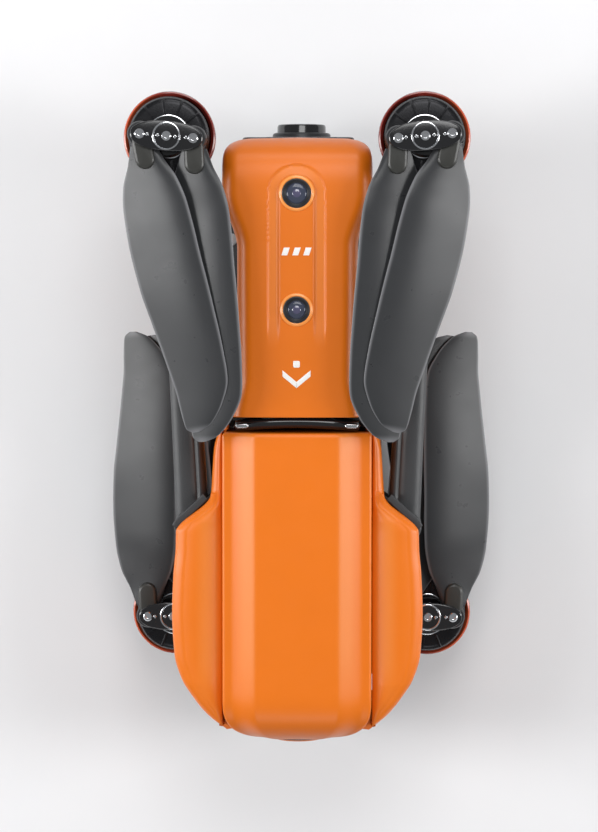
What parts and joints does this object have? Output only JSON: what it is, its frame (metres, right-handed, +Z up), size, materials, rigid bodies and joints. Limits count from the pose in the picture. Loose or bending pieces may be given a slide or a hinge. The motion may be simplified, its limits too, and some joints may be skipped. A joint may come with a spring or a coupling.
{
  "type": "folding quadcopter drone",
  "caption": "Folding camera quadcopter in its stowed pose, with folding arms and blades, a slide-in battery and a stabilised camera under the nose.",
  "frame": {"origin": "centre of the stowed outline, on the surface that the feet stand on", "axes": "+Y towards the nose, +Z up, +X to the right of the nose"},
  "size_m": [0.1426, 0.235, 0.1068],
  "materials": {
    "orange_shell": "moulded shell with a soft gloss",
    "orange_button": "moulded, matte",
    "grey_polymer": "reinforced polymer, fine matte texture",
    "black_polymer": "matte",
    "black_gloss": "polished",
    "black_rubber": "soft",
    "steel": "machined",
    "lens_glass": "coated",
    "circuit_board": "solder mask",
    "bare_aluminium": "extruded",
    "ceramic": "fired",
    "gimbal_alloy": "anodised",
    "camera_alloy": "anodised",
    "cell_foil": "laminated foil",
    "copper_windings": "enamelled wire on laminations",
    "black_alloy": "anodised",
    "blade_polymer": "fine matte"
  },
  "bodies": {
    "airframe": {"chassis": "grey_polymer", "lower_shell": "grey_polymer", "nose_cover": "orange_shell", "rear_fairing_left": "orange_shell", "rear_fairing_right": "orange_shell", "belly_feet": "black_rubber", "arm_pins": "steel", "case_screws": "steel", "vision_lenses": "lens_glass", "lens_bezels": "black_gloss", "front_sensor_bar": "black_gloss", "seam_strip": "black_gloss", "main_board": "circuit_board", "esc_board": "circuit_board", "heat_sink": "bare_aluminium", "gps_antenna": "ceramic", "fan_housing": "black_polymer", "battery_socket": "black_polymer", "gimbal_mount": "grey_polymer", "damper_balls": "black_rubber"},
    "cooling_fan": {"fan_rotor": "black_polymer"},
    "card_door": {"card_door": "black_polymer"},
    "gimbal_yaw_arm": {"gimbal_yaw_arm": "gimbal_alloy"},
    "gimbal_roll_arm": {"gimbal_roll_arm": "gimbal_alloy"},
    "camera": {"camera_body": "camera_alloy", "camera_lens": "black_gloss"},
    "battery": {"battery_case": "orange_shell", "battery_cells": "cell_foil", "battery_board": "circuit_board"},
    "power_button": {"battery_button": "orange_button"},
    "latch_left": {"battery_latch_left": "orange_button"},
    "latch_right": {"battery_latch_right": "orange_button"},
    "rear_arm_left": {"rear_arm_left": "grey_polymer", "stator_rear_left": "copper_windings"},
    "rotor_rear_left": {"bell_rear_left": "black_alloy", "hub_rear_left": "black_gloss"},
    "blade_rear_left_outer": {"blade_rear_left_outer": "blade_polymer"},
    "blade_rear_left_inner": {"blade_rear_left_inner": "blade_polymer"},
    "front_arm_left": {"front_arm_left": "grey_polymer", "stator_front_left": "copper_windings", "landing_leg_left": "black_rubber"},
    "rotor_front_left": {"bell_front_left": "black_alloy", "hub_front_left": "black_gloss"},
    "blade_front_left_outer": {"blade_front_left_outer": "blade_polymer"},
    "blade_front_left_inner": {"blade_front_left_inner": "blade_polymer"},
    "rear_arm_right": {"rear_arm_right": "grey_polymer", "stator_rear_right": "copper_windings"},
    "rotor_rear_right": {"bell_rear_right": "black_alloy", "hub_rear_right": "black_gloss"},
    "blade_rear_right_outer": {"blade_rear_right_outer": "blade_polymer"},
    "blade_rear_right_inner": {"blade_rear_right_inner": "blade_polymer"},
    "front_arm_right": {"front_arm_right": "grey_polymer", "stator_front_right": "copper_windings", "landing_leg_right": "black_rubber"},
    "rotor_front_right": {"bell_front_right": "black_alloy", "hub_front_right": "black_gloss"},
    "blade_front_right_outer": {"blade_front_right_outer": "blade_polymer"},
    "blade_front_right_inner": {"blade_front_right_inner": "blade_polymer"}
  },
  "joints": [
    {"name": "rear_arm_left_fold", "type": "hinge", "parent": "airframe", "child": "rear_arm_left", "pos_m": [-0.0385, -0.038, 0.073], "axis": [0, 0, 1], "range_deg": [0, 115]},
    {"name": "rotor_rear_left_spin", "type": "hinge", "parent": "rear_arm_left", "child": "rotor_rear_left", "pos_m": [-0.0456, 0.1025, 0.093], "axis": [0, 0, -1], "range_deg": [-8, 190]},
    {"name": "blade_rear_left_outer_open", "type": "hinge", "parent": "rotor_rear_left", "child": "blade_rear_left_outer", "pos_m": [-0.05506, 0.10333, 0.103], "axis": [0, 0, -1], "range_deg": [-1, 107]},
    {"name": "blade_rear_left_inner_open", "type": "hinge", "parent": "rotor_rear_left", "child": "blade_rear_left_inner", "pos_m": [-0.03614, 0.10167, 0.103], "axis": [0, 0, 1], "range_deg": [-1, 84]},
    {"name": "front_arm_left_fold", "type": "hinge", "parent": "airframe", "child": "front_arm_left", "pos_m": [-0.027, 0.066, 0.0135], "axis": [0, 0, -1], "range_deg": [0, 110]},
    {"name": "rotor_front_left_spin", "type": "hinge", "parent": "front_arm_left", "child": "rotor_front_left", "pos_m": [-0.048, -0.076, 0.0335], "axis": [0, 0, 1], "range_deg": [-4, 180]},
    {"name": "blade_front_left_outer_open", "type": "hinge", "parent": "rotor_front_left", "child": "blade_front_left_outer", "pos_m": [-0.0575, -0.076, 0.0435], "axis": [0, 0, 1], "range_deg": [-1, 89]},
    {"name": "blade_front_left_inner_open", "type": "hinge", "parent": "rotor_front_left", "child": "blade_front_left_inner", "pos_m": [-0.0385, -0.076, 0.0435], "axis": [0, 0, -1], "range_deg": [-1, 100]},
    {"name": "rear_arm_right_fold", "type": "hinge", "parent": "airframe", "child": "rear_arm_right", "pos_m": [0.0385, -0.038, 0.073], "axis": [0, 0, -1], "range_deg": [0, 115]},
    {"name": "rotor_rear_right_spin", "type": "hinge", "parent": "rear_arm_right", "child": "rotor_rear_right", "pos_m": [0.0456, 0.1025, 0.093], "axis": [0, 0, 1], "range_deg": [-8, 190]},
    {"name": "blade_rear_right_outer_open", "type": "hinge", "parent": "rotor_rear_right", "child": "blade_rear_right_outer", "pos_m": [0.05506, 0.10333, 0.103], "axis": [0, 0, 1], "range_deg": [-1, 107]},
    {"name": "blade_rear_right_inner_open", "type": "hinge", "parent": "rotor_rear_right", "child": "blade_rear_right_inner", "pos_m": [0.03614, 0.10167, 0.103], "axis": [0, 0, -1], "range_deg": [-1, 84]},
    {"name": "front_arm_right_fold", "type": "hinge", "parent": "airframe", "child": "front_arm_right", "pos_m": [0.027, 0.066, 0.0135], "axis": [0, 0, 1], "range_deg": [0, 110]},
    {"name": "rotor_front_right_spin", "type": "hinge", "parent": "front_arm_right", "child": "rotor_front_right", "pos_m": [0.048, -0.076, 0.0335], "axis": [0, 0, -1], "range_deg": [-4, 180]},
    {"name": "blade_front_right_outer_open", "type": "hinge", "parent": "rotor_front_right", "child": "blade_front_right_outer", "pos_m": [0.0575, -0.076, 0.0435], "axis": [0, 0, -1], "range_deg": [-1, 89]},
    {"name": "blade_front_right_inner_open", "type": "hinge", "parent": "rotor_front_right", "child": "blade_front_right_inner", "pos_m": [0.0385, -0.076, 0.0435], "axis": [0, 0, 1], "range_deg": [-1, 100]},
    {"name": "gimbal_yaw", "type": "hinge", "parent": "airframe", "child": "gimbal_yaw_arm", "pos_m": [0, 0.09, 0.045], "axis": [0, 0, 1], "range_deg": [-40, 40]},
    {"name": "gimbal_roll", "type": "hinge", "parent": "gimbal_yaw_arm", "child": "gimbal_roll_arm", "pos_m": [0, 0.071, 0.0215], "axis": [0, 1, 0], "range_deg": [-35, 35]},
    {"name": "gimbal_tilt", "type": "hinge", "parent": "gimbal_roll_arm", "child": "camera", "pos_m": [0, 0.09, 0.0215], "axis": [1, 0, 0], "range_deg": [-90, 25]},
    {"name": "battery_slide", "type": "slide", "parent": "airframe", "child": "battery", "axis": [0, -1, 0], "range_m": [0, 0.13]},
    {"name": "power_button_press", "type": "slide", "parent": "battery", "child": "power_button", "axis": [0, 1, 0], "range_m": [0, 0.0012], "stiffness_N_per_m": 600},
    {"name": "latch_left_press", "type": "slide", "parent": "battery", "child": "latch_left", "axis": [1, 0, 0], "range_m": [0, 0.002], "stiffness_N_per_m": 800},
    {"name": "latch_right_press", "type": "slide", "parent": "battery", "child": "latch_right", "axis": [-1, 0, 0], "range_m": [0, 0.002], "stiffness_N_per_m": 800},
    {"name": "card_door_open", "type": "hinge", "parent": "airframe", "child": "card_door", "pos_m": [0.0253, -0.1046, 0.021], "axis": [0, 0, -1], "range_deg": [0, 110]},
    {"name": "cooling_fan_spin", "type": "hinge", "parent": "airframe", "child": "cooling_fan", "pos_m": [0, 0.024, 0.012], "axis": [0, 0, 1], "continuous": true}
  ],
  "couplings": [
    {"joint": "blade_rear_left_outer_open", "follows": "rear_arm_left_fold", "ratio": 0.92174},
    {"joint": "blade_rear_left_inner_open", "follows": "rear_arm_left_fold", "ratio": 0.72174},
    {"joint": "blade_front_left_outer_open", "follows": "front_arm_left_fold", "ratio": 0.79546},
    {"joint": "blade_front_left_inner_open", "follows": "front_arm_left_fold", "ratio": 0.9},
    {"joint": "blade_rear_right_outer_open", "follows": "rear_arm_right_fold", "ratio": 0.92174},
    {"joint": "blade_rear_right_inner_open", "follows": "rear_arm_right_fold", "ratio": 0.72174},
    {"joint": "blade_front_right_outer_open", "follows": "front_arm_right_fold", "ratio": 0.79546},
    {"joint": "blade_front_right_inner_open", "follows": "front_arm_right_fold", "ratio": 0.9}
  ]
}
